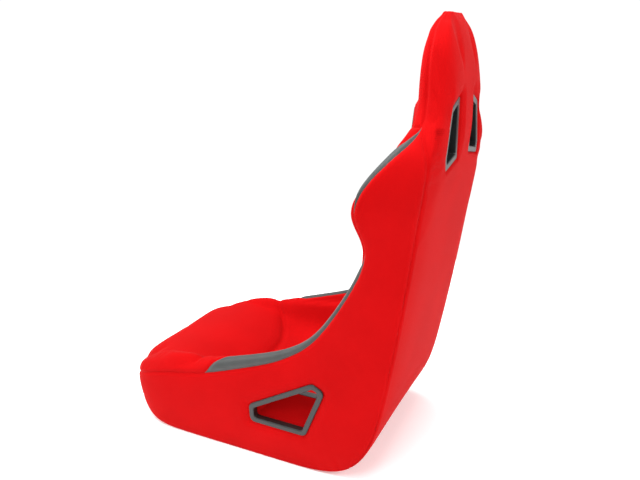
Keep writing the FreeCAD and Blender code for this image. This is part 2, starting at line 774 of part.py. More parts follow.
def bezel_space(points, corner, frame, depth, extra):
    """Space for a bezel's collar and flange, and for the belt in front of and behind it."""
    opening = inset(points, RING - size("bezel_wall") - extra)
    collar_corner = opening_corner(corner) + COLLAR_ROUND
    through = prism(opening, collar_corner, frame, -depth, BELT_ROOM)
    seat = prism(inset(points, -extra), corner, frame, -extra, BELT_ROOM)
    return [through, seat]


def slot_spaces(extra):
    """Room for every bezel, through foam and cloth."""
    left = []
    for points, corner, frame, depth in (
            (reversed_x(SHOULDER_SLOT), SHOULDER_SLOT_CORNER, REAR_FRAME, SHOULDER_TUNNEL),
            (SHOULDER_SLOT, SHOULDER_SLOT_CORNER, FRONT_FRAME, SHOULDER_MOUTH),
            (LAP_SLOT, LAP_SLOT_CORNER, LAP_FRAME, LAP_MOUTH),
            (reversed_x(LAP_INNER_SLOT), LAP_INNER_CORNER, LAP_INNER_FRAME, LAP_INNER_MOUTH)):
        left += bezel_space(points, corner, frame, depth, extra)
    return left + [twin(space) for space in left]


# ---------------------------------------------------------------- foam
CLEARANCE = size("foam_clearance")
FOAM = upholstery_solid(size("cover_gauge") + CLEARANCE)
CHUTE_SPACE = chute(-0.4)
SLOTS = slot_spaces(0.6) + [CHUTE_SPACE, twin(CHUTE_SPACE)]
SPLIT_X = 153.0
FAR = 400.0
CREASE = (172.0, 127.0)
HEEL_Y = 226.0
WEBBING_TOP = RAIL_Z + STRAP_GAUGE / 2 + 1.5
UNDERSIDE = 8.0                   # the cushion's foam stops above the cloth of the base
NOSE = -252.0                     # ahead of the front bow the foam reaches down to the cloth
PART_GAP = 0.6                    # between two mouldings that meet
BACK_FOAM_TOP = 610.0
REAR_FOAM_FOOT = 96.0
WAIST = 446.0                     # height at which hip and shoulder bolsters meet
HEADREST_FOOT = 618.0
SHOULDER_TOP = 704.0
RAIL_ROOM = 2.2                   # clear space round tubes that carry webbing clips, and others
TUBE_ROOM = 0.8
FRAME_SPACE = [tube.envelope(RAIL_ROOM) for tube in RAILS + [FRONT_BOW, BACK_BOW]]
FRAME_SPACE += [tube.envelope(TUBE_ROOM) for tube in [HEADREST_HOOP] + HIP_RAILS + WING_HOOPS]
FRAME_SPACE += [tube.envelope(TUBE_ROOM) for tube in (SEAT_CROSS, LUMBAR_CROSS)]
FRAME_SPACE += boss_space(0.5)
FRAME_SPACE.append(slab(
    (-PLATE_HALF - 2, PLATE_Y - 1, PLATE_LOW - 2),
    (PLATE_HALF + 2, PLATE_Y + PLATE_SHEET + 1, size("headrest_hoop_top") + 8)))


def foam(region):
    """One foam moulding: the padding inside a region, cleared of the frame and the slots."""
    block = FOAM.common(region)
    near = [space for space in FRAME_SPACE + SLOTS if space.BoundBox.intersect(block.BoundBox)]
    block = block.cut(near)
    return max(block.Solids, key=lambda solid: solid.Volume)


def behind_axis(height, gap):
    """A (y, z) corner at a distance behind the uprights' axis."""
    return (upright_y(height) + gap, height)


CREASE_Y, CREASE_Z = CREASE
OVER_CREASE = (CREASE_Y - 60, 300)
FRONT_OF_WEBBING = -3.0
BEHIND_RAILS = RAIL_RADIUS + 2.5
seat_region = side_block(
    [(-FAR, UNDERSIDE), (NOSE, UNDERSIDE), (NOSE, WEBBING_TOP), (HEEL_Y, WEBBING_TOP), CREASE,
     OVER_CREASE, (-FAR, OVER_CREASE[1])], -SPLIT_X, SPLIT_X)
back_region = side_block(
    [(HEEL_Y + PART_GAP, WEBBING_TOP + 6), behind_axis(60, FRONT_OF_WEBBING),
     behind_axis(BACK_FOAM_TOP, FRONT_OF_WEBBING), (100, BACK_FOAM_TOP),
     (OVER_CREASE[0] + PART_GAP, OVER_CREASE[1]), (CREASE_Y + PART_GAP, CREASE_Z)],
    -SPLIT_X, SPLIT_X)
rear_region = side_block(
    [behind_axis(REAR_FOAM_FOOT, BEHIND_RAILS), (FAR, REAR_FOAM_FOOT), (FAR, BACK_FOAM_TOP),
     behind_axis(BACK_FOAM_TOP, BEHIND_RAILS)], -SPLIT_X, SPLIT_X)
head_region = slab((-SPLIT_X, 200, HEADREST_FOOT), (SPLIT_X, FAR, SHOULDER_TOP)).fuse(
    slab((-FAR, 200, SHOULDER_TOP), (FAR, FAR, 950)))
hip_region = slab((SPLIT_X + PART_GAP, -FAR, 4), (FAR, FAR, WAIST))
wing_region = slab(
    (SPLIT_X + PART_GAP, 100, WAIST + PART_GAP), (FAR, FAR, SHOULDER_TOP - PART_GAP))

shaped("seat_cushion_foam", foam(seat_region))
shaped("back_cushion_foam", foam(back_region))
shaped("rear_padding_foam", foam(rear_region))
shaped("headrest_foam", foam(head_region))
keep_pair("hip_bolster_foam", foam(hip_region))
keep_pair("shoulder_bolster_foam", foam(wing_region))

# ---------------------------------------------------------------- sewn cover
AROUND = 26.0
screw_holes = [Part.makeCylinder(5.0, 60, Vector(side * 190, y, MOUNT_Z), TO_LEFT * side)
               for side in (1, -1) for y in (MOUNT_FRONT, MOUNT_REAR)]
COVER_SLOTS = slot_spaces(0.2) + screw_holes


def end_cap(position):
    """Cloth that closes the front lip or the headrest's top, at one end of the spine."""
    skins = [upholstery_surface(0.0), upholstery_surface(size("cover_gauge"))]
    rims = [skin.vIso(position).toShape() for skin in skins]
    faces = [Part.Face(Part.Wire([rim])) for rim in rims]
    faces.append(Part.makeRuledSurface(rims[0], rims[1]))
    shell = Part.makeShell(faces)
    shell.sewShape()
    return outward(Part.Solid(shell))


def sewn(panels):
    """Panels stitched into one piece of the cover, with its belt slots and screw holes cut."""
    piece = panels[0]
    for other in panels[1:]:
        piece = piece.fuse(other)
    near = [space for space in COVER_SLOTS if space.BoundBox.intersect(piece.BoundBox)]
    if near:
        piece = piece.cut(near)
    return max(piece.Solids, key=lambda solid: solid.Volume)


INNER = AROUND - EDGE_PATCH
CROWN = AROUND - EDGE_CROWN
keep_pair("side_cover", sewn([panel(EDGE_REAR, EDGE_CROWN, 0, ROW_HEADREST)]))
# The base panel is trimmed to the plane that the seat stands on.
over_floor = slab((-FAR, -FAR, 0), (FAR, FAR, FAR))
base_panel = sewn([panel(-EDGE_REAR, EDGE_REAR, 0, ROW_BASE_REAR)])
shaped("base_cover", base_panel.common(over_floor).Solids[0])
shaped("rear_cover", sewn([
    panel(-EDGE_REAR, EDGE_REAR, ROW_BASE_REAR, ROW_HEADREST),
    panel(-EDGE_CROWN, EDGE_CROWN, ROW_HEADREST, ROW_TOP)]))
shaped("seat_cover", sewn([
    end_cap(spine(0)),
    panel(EDGE_CROWN, CROWN, 0, ROW_PATCH_TIP),
    panel(EDGE_PATCH, INNER, ROW_PATCH_TIP, ROW_BACK)]))
keep_pair("thigh_grip_patch", sewn([panel(EDGE_CROWN, EDGE_PATCH, ROW_PATCH_TIP, ROW_WAIST)]))
keep_pair("shoulder_grip_patch", sewn([panel(EDGE_CROWN, EDGE_PATCH, ROW_WING, ROW_SHOULDER_TOP)]))
shaped("back_cover", sewn([
    panel(EDGE_PATCH, INNER, ROW_BACK, ROW_WAIST),
    panel(EDGE_CROWN, CROWN, ROW_WAIST, ROW_WING),
    panel(EDGE_PATCH, INNER, ROW_WING, ROW_SHOULDER_TOP),
    panel(EDGE_CROWN, CROWN, ROW_SHOULDER_TOP, ROW_HEADREST)]))
shaped("headrest_cover", sewn([
    panel(EDGE_CROWN, CROWN, ROW_HEADREST, ROW_TOP),
    end_cap(spine(ROW_TOP))]))

# ---------------------------------------------------------------- checks and export
doc.recompute()
for item in doc.Objects:
    if "Invalid" in item.State or "Error" in item.State:
        raise RuntimeError(f"{item.Label} failed: {item.State}")
os.makedirs("parts", exist_ok=True)
for node in NODES:
    if node.Shape.isNull() or not node.Shape.isValid():
        raise RuntimeError(f"{node.Label} has no valid shape")
    node.Shape.exportStep(f"parts/{node.Label}.step")
print(len(NODES), "sub-parts written")
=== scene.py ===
import json
import math

import bpy
import numpy as np
from mathutils import Matrix, Vector, noise
from mathutils.kdtree import KDTree


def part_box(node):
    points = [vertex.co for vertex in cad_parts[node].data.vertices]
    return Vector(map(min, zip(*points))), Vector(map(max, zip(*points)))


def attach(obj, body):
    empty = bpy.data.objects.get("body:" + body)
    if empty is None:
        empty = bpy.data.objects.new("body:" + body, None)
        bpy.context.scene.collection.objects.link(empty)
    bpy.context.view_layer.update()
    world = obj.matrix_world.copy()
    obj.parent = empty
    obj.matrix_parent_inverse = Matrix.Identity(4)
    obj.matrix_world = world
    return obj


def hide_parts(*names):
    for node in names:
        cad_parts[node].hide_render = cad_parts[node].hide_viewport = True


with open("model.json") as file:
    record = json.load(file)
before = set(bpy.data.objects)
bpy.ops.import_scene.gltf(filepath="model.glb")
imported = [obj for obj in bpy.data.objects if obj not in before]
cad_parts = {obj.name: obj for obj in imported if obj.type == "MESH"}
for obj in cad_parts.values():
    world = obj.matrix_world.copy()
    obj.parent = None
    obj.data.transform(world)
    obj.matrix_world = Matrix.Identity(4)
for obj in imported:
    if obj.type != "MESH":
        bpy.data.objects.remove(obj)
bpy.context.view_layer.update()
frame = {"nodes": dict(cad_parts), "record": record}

# Racing seat: the sewn cover, its grip patches and its seams are made here, round the CAD frame.
# Metres. The seat faces -Y, +Z is up and +X is the occupant's left.
MM = 0.001

# ---------------------------------------------------------------- outer form of the upholstery
# One row for each section across the seat, in millimetres, from the front lip round the hip to the
# headrest's top: heel (y, z), crown (y, z), pad depth, then half widths of the rear, the side, the
# crown and the foot of the cushion, and the roundness of the crown.
SECTIONS = [
    ((-364, 62), (-363, 86), 22, 100, 104, 92, 78, 8),
    ((-351, 57), (-356, 107), 62, 142, 147, 126, 112, 14),
    ((-320, 34), (-338, 132), 113, 181, 187, 162, 140, 20),
    ((-284, 12), (-303, 150), 148, 198, 205, 179, 152, 22),
    ((-248, 1), (-262, 165), 164, 202, 208, 184, 154, 24),
    ((-205, -0.6), (-208, 180), 166, 203, 207, 185, 156, 26),
    ((-140, -0.6), (-146, 189), 154, 203, 207, 186, 152, 25),
    ((-85, -0.6), (-84, 208), 134, 203, 207, 187, 150, 23),
    ((-10, -0.6), (-8, 231), 126, 203, 207, 188, 150, 21),
    ((75, -0.6), (43, 248), 121, 203, 207, 188, 150, 20),
    ((154, -0.4), (78, 264), 119, 202, 207, 188, 150, 20),
    ((224, 21), (109, 283), 109, 200, 207, 188, 152, 20),
    ((266, 91), (135, 307), 99, 199, 206, 188, 156, 20),
    ((286, 190), (160, 339), 76, 198, 205, 188, 158, 20),
    ((305, 300), (202, 405), 72, 198, 206, 190, 160, 20),
    ((323, 420), (236, 472), 66, 198, 211, 198, 164, 19),
    ((334, 505), (239, 517), 64, 198, 220, 210, 168, 19),
    ((345, 575), (223, 567), 62, 199, 240, 248, 178, 21),
    ((353, 632), (241, 620), 61, 197, 238, 244, 176, 21),
    ((358, 672), (280, 668), 60, 186, 211, 211, 160, 19),
    ((360, 702), (298, 700), 60, 160, 167, 158, 128, 16),
    ((359, 730), (300, 729), 56, 138, 142, 120, 102, 16),
    ((358, 770), (298, 770), 55, 126, 131, 112, 92, 16),
    ((355, 814), (297, 814), 54, 118, 121, 102, 82, 16),
    ((350, 852), (298, 852), 50, 104, 106, 87, 68, 16),
    ((342, 883), (302, 883), 40, 80, 81, 62, 46, 14),
    ((334, 899), (311, 899), 24, 44, 44, 32, 26, 8),
]
LAST_ROW = len(SECTIONS) - 1.0
AROUND = 26                  # control points round a section, from the middle of the underside
NOSE_ROW = -1.0              # past the first and last sections the skin closes to a line
CLOSE_ROW = LAST_ROW + 1.0
NOSE_DOME = 0.005
TOP_DOME = 0.002


def section_points(section):
    """Control points of one section, the left half and then its mirror, in metres."""
    heel, crown, pad, rear, side, top, foot, crown_round = section
    start = np.array((0.0, *heel))
    reach = np.array((0.0, *crown)) - start
    height = np.linalg.norm(reach)
    along = reach / height
    over_neck = min(1.0, max(0.0, (heel[1] - 640.0) / 100.0))
    corner = min(10.0 + 18.0 * over_neck, 5.0 + 0.03 * heel[1], 0.4 * height)
    drop = 0.9 * min(crown_round, max(0.0, height - pad))
    upper = (top - crown_round, height - drop)
    inner_foot = 0.95 * foot
    half = [
        (0, 0),
        (0.55 * rear, 0),
        (rear - corner, 0),
        (rear - 0.1 * corner, 0.25 * corner),
        (rear + 0.2 * (side - rear), corner),
        (side, 0.5 * height),
        (top + 0.95 * crown_round, height - 0.75 * crown_round),
        (top + 0.35 * crown_round, height - 0.06 * crown_round),
        (top - 0.45 * crown_round, height - 0.1 * drop),
        upper,
        (inner_foot + 0.42 * (upper[0] - inner_foot), pad + 0.3 * (upper[1] - pad)),
        (0.8 * foot, pad),
        (0.42 * foot, pad),
        (0, pad),
    ]
    loop = half + [(-x, rise) for x, rise in reversed(half[1:-1])]
    return [(start + along * rise + np.array((x, 0, 0))) * MM for x, rise in loop]


POLES = np.array([section_points(section) for section in SECTIONS]).transpose(1, 0, 2)


def spine(row):
    """Curve parameter of a section row; the clamped ends squeeze the first and last two rows."""
    row = np.clip(row, 0.0, LAST_ROW)
    inner = np.where(row <= 2.0, row / 2.0, row - 1.0)
    return np.where(row >= LAST_ROW - 2.0, LAST_ROW - 2.0 - (LAST_ROW - row) / 2.0, inner)


def spine_weights(row):
    """Cubic B-spline weights of all sections at each row, by the Cox and de Boor recursion."""
    top = LAST_ROW - 2.0
    t = np.minimum(spine(row), top - 1e-9)[:, None]
    knots = np.concatenate([[0.0] * 3, np.arange(top + 1.0), [top] * 3])
    weights = ((t >= knots[:-1]) & (t < knots[1:])).astype(float)
    for degree in (1, 2, 3):
        low, high = knots[: -degree - 1], knots[degree + 1:]
        rise = np.maximum(knots[degree:-1] - low, 1e-12)
        fall = np.maximum(high - knots[1:-degree], 1e-12)
        weights = (t - low) / rise * weights[:, :-1] + (high - t) / fall * weights[:, 1:]
    return weights


def tube_skin(u, row):
    """Points of the open form at places u round a section and at section rows."""
    first = np.floor(u).astype(int)
    t = u - first
    around = np.stack([
        (1 - t) ** 3, 3 * t ** 3 - 6 * t ** 2 + 4,
        -3 * t ** 3 + 3 * t ** 2 + 3 * t + 1, t ** 3], axis=1) / 6
    near = (first[:, None] + np.arange(-1, 3)) % AROUND
    return np.einsum("na,nr,nard->nd", around, spine_weights(row), POLES[near], optimize=True)


def smooth(x, low, high):
    t = np.clip((np.asarray(x, float) - low) / (high - low), 0.0, 1.0)
    return t * t * (3 - 2 * t)


def form(u, row):
    """Points of the closed form: past the end sections it domes over to a line across."""
    u, row = np.broadcast_arrays(np.asarray(u, float), np.asarray(row, float))
    shape = u.shape
    u, row = u.ravel(), row.ravel()
    points = np.concatenate([
        tube_skin(u[start:start + 20000], row[start:start + 20000])
        for start in range(0, len(u), 20000)])
    first, last = SECTIONS[0], SECTIONS[-1]
    for past, middle, axis, dome_axis, dome in (
            (-row, (first[0][1] + first[1][1]) / 2 * MM, 2, 1, -NOSE_DOME),
            (row - LAST_ROW, (last[0][0] + last[1][0]) / 2 * MM, 1, 2, TOP_DOME)):
        turn = np.clip(past, 0.0, 1.0) * math.pi / 2
        points[:, axis] = middle + (points[:, axis] - middle) * np.cos(turn)
        points[:, 0] *= 1 - 0.12 * (1 - np.cos(turn))
        points[:, dome_axis] += dome * np.sin(turn)
    return points.reshape(shape + (3,))


def outward(u, row):
    """Unit normals of the form, out of the seat."""
    step = 0.02
    across = form(u + step, row) - form(u - step, row)
    held = np.clip(row, NOSE_ROW + 2 * step, CLOSE_ROW - 2 * step)
    along = form(u, held + step) - form(u, held - step)
    normal = np.cross(along, across)
    normal /= np.maximum(np.linalg.norm(normal, axis=-1, keepdims=True), 1e-12)
    for past, way in ((-row, (0, -1, 0)), (row - LAST_ROW, (0, 0, 1))):
        share = smooth(past, 0.2, 0.8)[..., None]
        normal = (1 - share) * normal + share * np.array(way, float)
    return normal / np.maximum(np.linalg.norm(normal, axis=-1, keepdims=True), 1e-12)


# ---------------------------------------------------------------- where the cover is cut and sewn
ROW_BACK = 12.3              # cushion to back
ROW_NECK = 20.4              # back to headrest
ROW_BASE_REAR = 11.0         # base to rear panel
ROW_SIDE_TOP = 20.3
HIP_TIP, HIP_END = 6.35, 15.6
WING_START, WING_END = 17.0, 20.5
PATCH_WIDTH = 1.9            # of a grip patch, round the section
HIP_EXTRA_WIDTH = 0.5        # more at the bolster than on the thigh
PATCH_GAP = 0.03             # a patch stops short of its two tips

# Where the seam under the bolster's crown lies, row by row.
CROWN_SEAM_ROWS = [-1, 3, 5, 7, 9, 10, 11.2, 12.4, 14.3, 16, 17.3, 18.2, 18.9, 19.3, 19.7, 20, 21,
                   23, 25, 27]
CROWN_SEAM_PLACES = [5.8, 5.87, 5.94, 6.0, 6.2, 6.33, 6.42, 6.5, 6.6, 6.55, 6.45, 6.36, 6.14, 5.85,
                     5.55, 5.4, 5.5, 5.65, 5.9, 6.1]
# The seam between the side and rear panels, which sweeps forward over the shoulder to the neck.
REAR_SEAM_ROWS = [-1, 17.5, 18.5, 19.6, 20.3, 20.8]
REAR_SEAM_PLACES = [3.2, 3.2, 3.5, 4.4, 5.3, 7.0]


def eased(row, rows, places):
    """A table's value at each row, with the table's corners smoothed."""
    row = np.asarray(row, float)
    return np.mean([np.interp(row + shift, rows, places) for shift in np.linspace(-0.4, 0.4, 9)],
                   axis=0)


def crown_seam(row):
    return eased(row, CROWN_SEAM_ROWS, CROWN_SEAM_PLACES)


def rear_seam(row):
    return np.minimum(eased(row, REAR_SEAM_ROWS, REAR_SEAM_PLACES), crown_seam(row))


def patch_seam(row):
    """Inner edge of the two leaf-shaped grip patches; elsewhere it is the crown seam."""
    hip = smooth(row, HIP_TIP, 7.2) * (1 - smooth(row, 13.8, HIP_END))
    hip_width = PATCH_WIDTH + HIP_EXTRA_WIDTH * smooth(row, 8.0, 12.5)
    wing = smooth(row, WING_START, 18.6) * (1 - smooth(row, 18.9, WING_END))
    return crown_seam(row) + hip_width * hip + PATCH_WIDTH * wing


def mirrored(edge):
    return lambda row: AROUND - edge(row)


def along_line(edge, low, high, step=0.05):
    """Places and rows of a line that runs along the seat, at an edge given row by row."""
    rows = np.linspace(low, high, int((high - low) / step) + 2)
    return edge(rows), rows


def across_line(row, low, high, step=0.04):
    """Places and rows of a line round the seat, all on one row."""
    places = np.linspace(low, high, int((high - low) / step) + 2)
    return places, np.full(len(places), row)


def both_sides(line):
    u, row = line
    return [line, (AROUND - u, row)]


SEAMS = []
SEAMS += both_sides(along_line(rear_seam, NOSE_ROW, ROW_NECK))
SEAMS += both_sides(along_line(crown_seam, NOSE_ROW, CLOSE_ROW))
SEAMS += both_sides(along_line(patch_seam, HIP_TIP, HIP_END, 0.02))
SEAMS += both_sides(along_line(patch_seam, WING_START, WING_END, 0.02))
BACK_PLACE = float(patch_seam(ROW_BACK))
SEAMS.append(across_line(ROW_BACK, BACK_PLACE, AROUND - BACK_PLACE))
BASE_EDGE = float(rear_seam(ROW_BASE_REAR))
NECK_PLACE = float(crown_seam(ROW_NECK))
SEAMS.append(across_line(ROW_NECK, NECK_PLACE, AROUND - NECK_PLACE))
SEAMS.append(across_line(ROW_BASE_REAR, -BASE_EDGE, BASE_EDGE))
SEAMS.append(across_line(NOSE_ROW, 0.0, AROUND))
SEAMS.append(across_line(CLOSE_ROW, 0.0, AROUND))

# Fold across the seat where the thigh pad ends and the hollow behind it starts.
FOLD_ROWS = [5.85, 5.95, 6.15, 6.4, 6.75, 7.05, 7.15, 7.15]
FOLD_PLACES = [7.3, 7.9, 9.1, 10.3, 11.2, 12.0, 12.6, 13.0]
FOLD_RUN = np.linspace(FOLD_PLACES[0], FOLD_PLACES[-1], 120)
FOLDS = both_sides((FOLD_RUN, np.interp(FOLD_RUN, FOLD_PLACES, FOLD_ROWS)))


def finder(lines):
    """Nearest-point search over lines drawn on the form."""
    points = np.concatenate([form(u, row) for u, row in lines])
    tree = KDTree(len(points))
    for index, point in enumerate(points):
        tree.insert(point, index)
    tree.balance()
    return tree


def distance(tree, points):
    return np.array([tree.find(point)[2] for point in points.reshape(-1, 3)])


SEAM_FINDER = finder(SEAMS)
FOLD_FINDER = finder(FOLDS)

# ---------------------------------------------------------------- inflation of the cover
PRESSURE = 4.0
SWELL_FRAMES = 20
SWELL_CAP = 0.005
SWELL_PITCH = 0.010
HELD_WIDTH = 0.006           # strip along each seam that the pressure doesn't move
REFERENCE_ROW = 9.0


def spaced(values, lengths, pitch):
    """Values at an even pitch along a curve whose lengths are measured at the given values."""
    run = np.concatenate([[0.0], np.cumsum(lengths)])
    count = max(2, int(round(run[-1] / pitch)) + 1)
    return np.interp(np.linspace(0, run[-1], count), run, values)


def lengths_of(points):
    return np.linalg.norm(np.diff(points, axis=0), axis=1)


U_FINE = np.linspace(0, AROUND, 1041)
U_RUN = np.concatenate([[0.0], np.cumsum(lengths_of(form(U_FINE, np.full(1041, REFERENCE_ROW))))])
ROW_FINE = np.linspace(NOSE_ROW, CLOSE_ROW, 1121)


def row_lengths(u):
    return lengths_of(form(np.full(len(ROW_FINE), u), ROW_FINE))


ROW_LENGTHS = (row_lengths(5.0) + row_lengths(8.0) + row_lengths(1.0)) / 3


class Swell:
    """How far the cloth stands off the form, on a coarse grid over the whole skin."""

    def __init__(self, pitch):
        self.u = spaced(U_FINE, np.diff(U_RUN), pitch)[:-1]
        self.rows = spaced(ROW_FINE, ROW_LENGTHS, pitch)
        grid_u, grid_row = np.meshgrid(self.u, self.rows, indexing="ij")
        self.normals = outward(grid_u.ravel(), grid_row.ravel())
        self.start = form(grid_u.ravel(), grid_row.ravel())
        self.field = np.zeros((len(self.u), len(self.rows)))

    def faces(self):
        wide, tall = self.field.shape
        index = np.arange(wide * tall).reshape(wide, tall)
        after = np.roll(index, -1, axis=0)
        quads = np.stack([index[:, :-1], index[:, 1:], after[:, 1:], after[:, :-1]], axis=-1)
        return quads.reshape(-1, 4).tolist()

    def simulate(self):
        """Cloth held at its seams and blown up by pressure; the result is kept as a height."""
        mesh = bpy.data.meshes.new("cloth_form")
        mesh.from_pydata(self.start.tolist(), [], self.faces())
        cloth_form = bpy.data.objects.new("cloth_form", mesh)
        bpy.context.scene.collection.objects.link(cloth_form)
        held = np.nonzero(distance(SEAM_FINDER, self.start) < HELD_WIDTH)[0]
        group = cloth_form.vertex_groups.new(name="sewn")
        group.add(held.tolist(), 1.0, "REPLACE")
        cloth = cloth_form.modifiers.new("Cloth", "CLOTH")
        cloth.settings.quality = 4
        cloth.settings.mass = 0.3
        cloth.settings.tension_stiffness = 12
        cloth.settings.compression_stiffness = 12
        cloth.settings.bending_stiffness = 0.4
        cloth.settings.vertex_group_mass = "sewn"
        cloth.settings.use_pressure = True
        cloth.settings.uniform_pressure_force = PRESSURE
        cloth.settings.effector_weights.gravity = 0
        cloth.point_cache.frame_start = 1
        cloth.point_cache.frame_end = SWELL_FRAMES
        scene = bpy.context.scene
        for number in range(1, SWELL_FRAMES + 1):
            scene.frame_set(number)
        seen = cloth_form.evaluated_get(bpy.context.evaluated_depsgraph_get())
        result = np.zeros(len(mesh.vertices) * 3)
        seen.data.vertices.foreach_get("co", result)
        scene.frame_set(1)
        bpy.data.objects.remove(cloth_form)
        bpy.data.meshes.remove(mesh)
        rise = np.einsum("nd,nd->n", result.reshape(-1, 3) - self.start, self.normals)
        self.field = (SWELL_CAP * np.tanh(rise / SWELL_CAP)).reshape(self.field.shape)

    def height(self, u, row):
        """Height at any place on the skin, between the grid's points."""
        wide = len(self.u)
        at_u = np.interp(u % AROUND, np.append(self.u, AROUND), np.arange(wide + 1.0))
        at_row = np.interp(row, self.rows, np.arange(float(len(self.rows))))
        low_u = np.floor(at_u).astype(int)
        low_row = np.minimum(np.floor(at_row).astype(int), len(self.rows) - 2)
        part_u, part_row = at_u - low_u, at_row - low_row
        total = 0
        for step_u, weight_u in ((0, 1 - part_u), (1, part_u)):
            for step_row, weight_row in ((0, 1 - part_row), (1, part_row)):
                value = self.field[(low_u + step_u) % wide, low_row + step_row]
                total = total + weight_u * weight_row * value
        return total


SWELL = Swell(SWELL_PITCH)
SWELL.simulate()

# ---------------------------------------------------------------- belt slots
# Outer outlines of the bezels in millimetres, each in the plane of its own flange.
SHOULDER_SLOT = [(42, 643), (120, 630), (126, 653), (98, 738), (46, 758)]
LAP_SLOT = [(-8, 83), (122, 82), (166, 192), (138, 206), (-10, 122)]
LAP_INNER_SLOT = [(-62, -32), (50, -32), (76, 26), (52, 38), (-62, 0)]
LAP_INNER_TILT = math.radians(14)
TO_LEFT = np.array((1.0, 0.0, 0.0))
TO_REAR = np.array((0.0, 1.0, 0.0))
UPWARD = np.array((0.0, 0.0, 1.0))
SLOT_REACH = 0.022           # cover this near to a flange's plane belongs to its slot
SLOT_FACING = 0.4            # and so does cover that faces this much the same way
HOLE_INSET = 0.0045          # the hole's edge lies this far in under the flange
TILTED_UP = np.array((math.sin(LAP_INNER_TILT), 0.0, math.cos(LAP_INNER_TILT)))


class Slot:
    """A bezel's outline, where it lies, and how the cover is pressed down round it."""

    def __init__(self, outline, origin, across, up, facing, roll=0.0022):
        self.outline = np.array(outline, float) * MM
        self.roll = roll
        self.origin = np.array(origin, float)
        self.across, self.up, self.facing = across, up, facing

    def mirror(self):
        flip = np.array((-1.0, 1.0, 1.0))
        return Slot(self.outline / MM, self.origin * flip, self.across * flip, self.up * flip,
                    self.facing * flip, self.roll)

    def measure(self, points):
        """Signed distance outside the outline, and height over the flange's plane."""
        offset = points - self.origin
        flat = np.stack([offset @ self.across, offset @ self.up], axis=1)
        after = np.roll(self.outline, -1, axis=0)
        near = np.full(len(flat), 1e9)
        crossings = np.zeros(len(flat), int)
        for start, end in zip(self.outline, after):
            run = end - start
            share = np.clip((flat - start) @ run / (run @ run), 0, 1)
            near = np.minimum(near, np.linalg.norm(flat - start - share[:, None] * run, axis=1))
            spans = (start[1] > flat[:, 1]) != (end[1] > flat[:, 1])
            with np.errstate(divide="ignore", invalid="ignore"):
                cut = start[0] + (flat[:, 1] - start[1]) / run[1] * run[0]
            crossings += spans & (flat[:, 0] < cut)
        inside = crossings % 2 == 1
        return np.where(inside, -near, near), offset @ self.facing

    def press(self, points, normals):
        """Cover round a bezel comes to the flange's edge in a low roll and lies flat under it."""
        outside, height = self.measure(points)
        close = (np.abs(height) < SLOT_REACH) & (normals @ self.facing > SLOT_FACING)
        hold = np.where(close, 1 - smooth(outside, 0.001, 0.020), 0.0)
        roll = self.roll * smooth(outside, 0.0, 0.0015 + 0.6 * self.roll) - 0.0006
        return points + (hold * (roll - height))[:, None] * self.facing

    def opened(self, points, normals):
        """Which points lie in the hole, whose edge the flange hides."""
        outside, height = self.measure(points)
        close = (np.abs(height) < SLOT_REACH) & (normals @ self.facing > SLOT_FACING)
        return (outside < -HOLE_INSET) & close


def face_of(node, axis, high):
    """Where a bezel's flange lies along an axis."""
    low_corner, high_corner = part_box(node)
    return high_corner[axis] if high else low_corner[axis]


FLANGE = 3.5 * MM
shoulder_rear_y = face_of("shoulder_slot_bezel_rear_left", 1, True) - FLANGE
shoulder_front_y = face_of("shoulder_slot_bezel_front_left", 1, False) + FLANGE
lap_x = face_of("lap_slot_bezel_outer_left", 0, True) - FLANGE
LEFT_SLOTS = [
    Slot(SHOULDER_SLOT, (0, shoulder_rear_y, 0), TO_LEFT, UPWARD, TO_REAR, 0.0060),
    Slot(SHOULDER_SLOT, (0, shoulder_front_y, 0), TO_LEFT, UPWARD, -TO_REAR),
    Slot(LAP_SLOT, (lap_x, 0, 0), TO_REAR, UPWARD, TO_LEFT),
    Slot(LAP_INNER_SLOT, (0.150, 0.080, 0.164), TO_REAR, TILTED_UP,
         np.cross(TILTED_UP, TO_REAR)),
]
SLOTS = LEFT_SLOTS + [slot.mirror() for slot in LEFT_SLOTS]

# ---------------------------------------------------------------- sewn panels
TUCK = 0.0030
TUCK_WIDTH = 0.0042
FOLD_DEPTH = 0.005
FOLD_WIDTH = 0.006
PAD_RISE = 0.004
CLOTH_GAUGE = 0.0016
COVER_PITCH = 0.0042         # spacing of the mesh
PATCH_PITCH = 0.003
PUCKER_SCALE = 55.0          # gathers along the seams, per metre
FLOOR_GAP = 0.0004
EDGE_STEPS = np.array([0.0, 0.8, 1.7, 2.8, 4.2, 6.2]) * MM


def pad_rise(u, row):
    """The thigh pad stands a little proud ahead of the fold across the seat."""
    side_u = np.minimum(u % AROUND, AROUND - u % AROUND)
    fold_row = np.interp(side_u, FOLD_PLACES, FOLD_ROWS)
    ahead = smooth(row, fold_row - 3.4, fold_row - 0.7) * (1 - smooth(row, fold_row - 0.5, fold_row))
    return PAD_RISE * smooth(side_u, 6.6, 7.8) * ahead


def draped(u, row):
    """Cover points at places on the skin: swollen between its seams and tucked in along them."""
    base = form(u, row)
    normals = outward(u, row)
    seam = distance(SEAM_FINDER, base)
    fold = distance(FOLD_FINDER, base)
    pucker = np.array([noise.noise(Vector(point) * PUCKER_SCALE) for point in base])
    tuck = TUCK * np.exp(-(seam / TUCK_WIDTH) ** 2) + 0.25 * TUCK * np.exp(-seam / 0.012)
    tuck *= (1 + 0.22 * pucker) * (0.25 + 0.75 * smooth(base[:, 2], 0.010, 0.060))
    crease = FOLD_DEPTH * np.exp(-(fold / FOLD_WIDTH) ** 2) + 0.002 * np.exp(-fold / 0.02)
    lift = SWELL.height(u, row) + pad_rise(u, row) - tuck - crease
    points = base + lift[:, None] * normals
    for slot in SLOTS:
        points = slot.press(points, normals)
    points[:, 2] = np.maximum(points[:, 2], FLOOR_GAP)
    return points, normals


